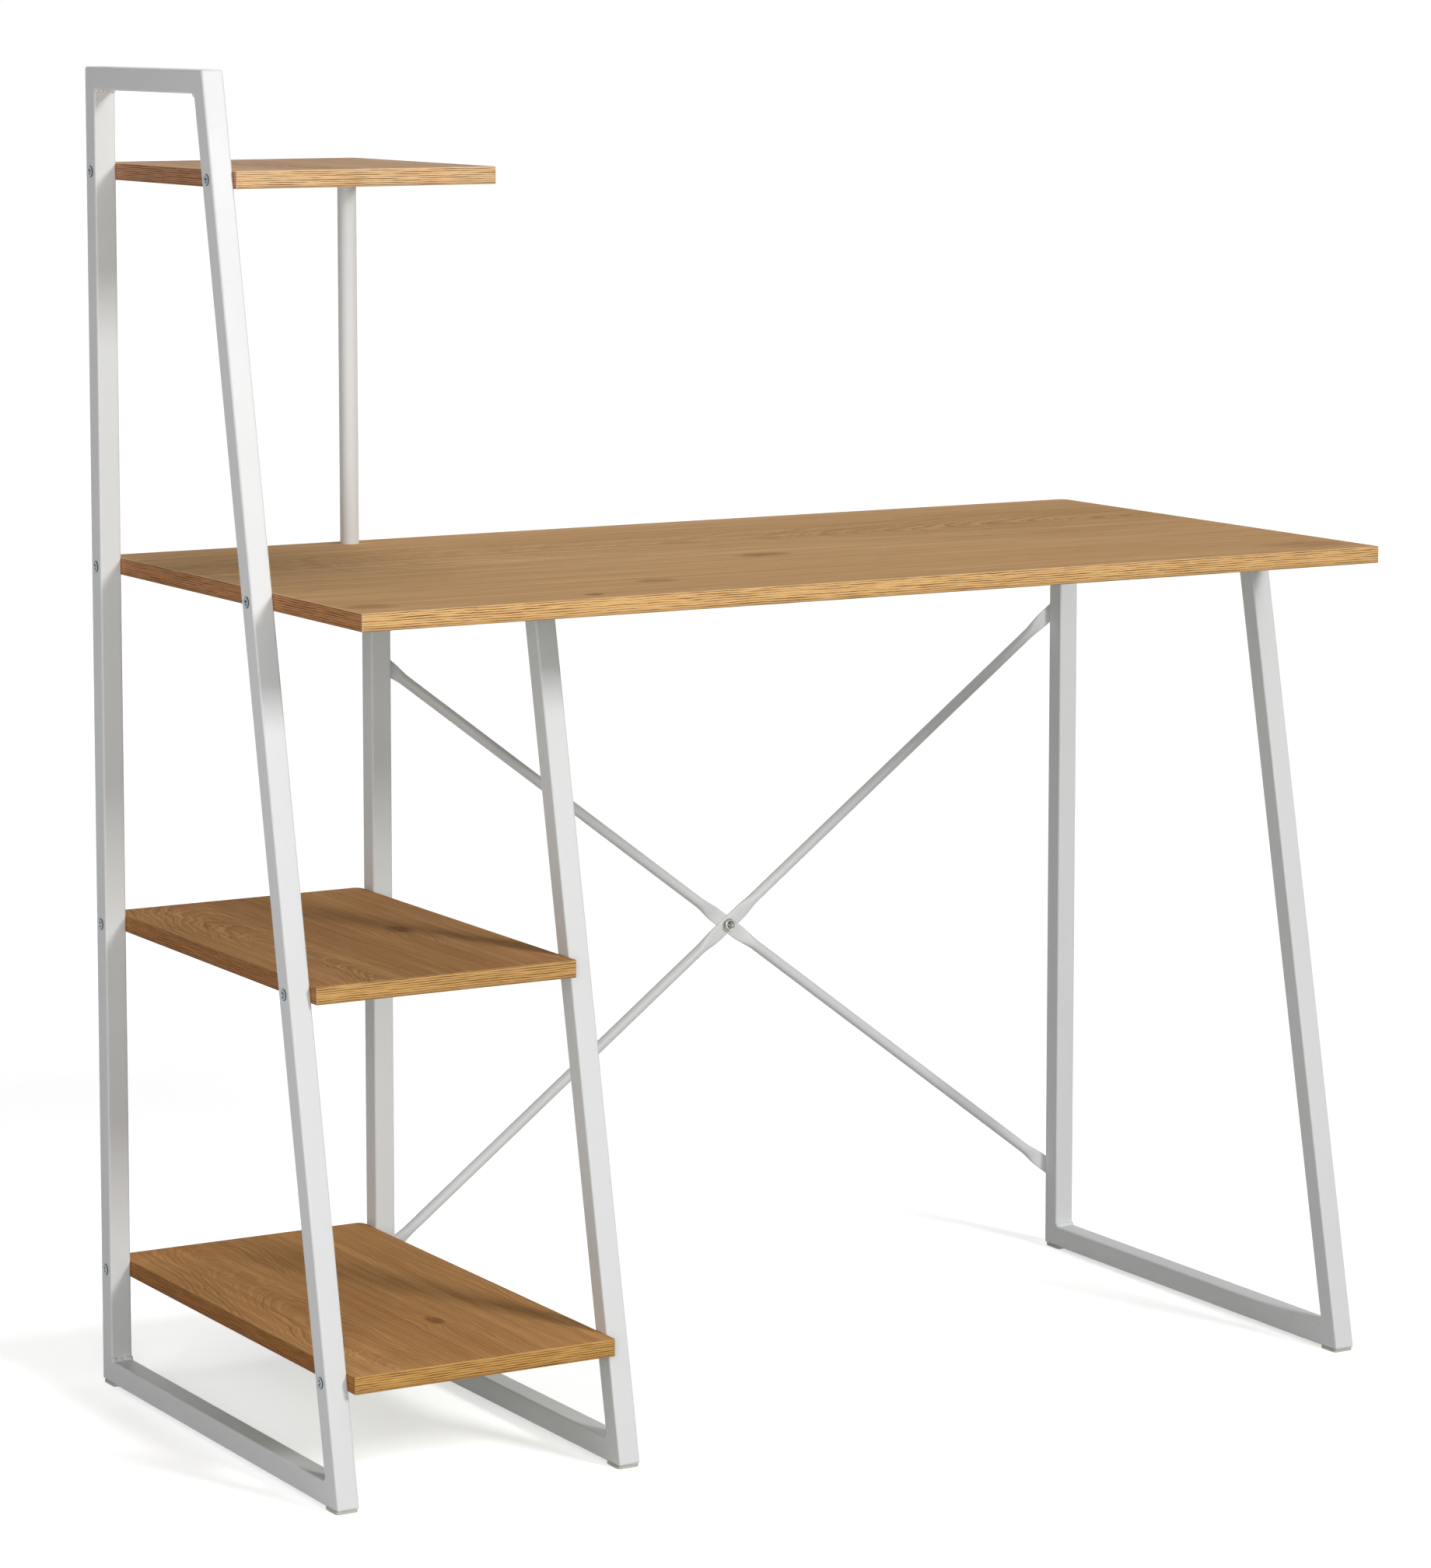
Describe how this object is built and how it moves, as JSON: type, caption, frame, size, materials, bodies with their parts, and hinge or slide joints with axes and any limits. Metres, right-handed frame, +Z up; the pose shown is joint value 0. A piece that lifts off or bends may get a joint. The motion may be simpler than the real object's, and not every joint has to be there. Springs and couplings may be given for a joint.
{
  "type": "ladder desk",
  "caption": "Desk on white steel tube frames with a wood-look top, open shelves on a leaning ladder frame at the left end, and a crossed brace at the rear.",
  "frame": {"origin": "on the floor, under the middle of the desk's length and depth", "axes": "+X to the right along the desktop as seen from its front, +Y to the rear, +Z up"},
  "size_m": [1.0362, 0.505, 1.1725],
  "materials": {
    "white_coat": "satin white powder coat",
    "board_laminate": "satin wood-grain laminate on board",
    "edge_band": "satin wood-grain edge band",
    "pad_plastic": "matte",
    "zinc_steel": "zinc plated",
    "bright_steel": "bright nickel plated"
  },
  "bodies": {
    "root": {"bottom_shelf": "board_laminate", "bottom_shelf_edge_band": "edge_band", "brace_bolt": "bright_steel", "brace_nut": "bright_steel", "brace_rivet_nuts": "zinc_steel", "brace_screws": "zinc_steel", "desktop": "board_laminate", "desktop_edge_band": "edge_band", "desktop_inserts": "zinc_steel", "desktop_screws": "zinc_steel", "falling_brace": "white_coat", "inner_bottom_rail": "white_coat", "inner_frame_screws": "zinc_steel", "inner_front_foot_pad": "pad_plastic", "inner_front_leg": "white_coat", "inner_rear_foot_pad": "pad_plastic", "inner_rear_leg": "white_coat", "inner_side_inserts": "zinc_steel", "inner_top_rail": "white_coat", "inner_welds": "white_coat", "ladder_bottom_rail": "white_coat", "ladder_front_foot_pad": "pad_plastic", "ladder_front_leg": "white_coat", "ladder_rear_foot_pad": "pad_plastic", "ladder_rear_upright": "white_coat", "ladder_screws": "zinc_steel", "ladder_side_inserts": "zinc_steel", "ladder_top_rail": "white_coat", "ladder_welds": "white_coat", "middle_shelf": "board_laminate", "middle_shelf_edge_band": "edge_band", "post_plugs": "zinc_steel", "post_screw": "zinc_steel", "post_stud": "zinc_steel", "right_bottom_rail": "white_coat", "right_front_foot_pad": "pad_plastic", "right_front_leg": "white_coat", "right_rear_foot_pad": "pad_plastic", "right_rear_leg": "white_coat", "right_top_rail": "white_coat", "right_welds": "white_coat", "rising_brace": "white_coat", "shelf_post": "white_coat", "top_shelf": "board_laminate", "top_shelf_edge_band": "edge_band", "top_shelf_insert": "zinc_steel"}
  },
  "joints": []
}
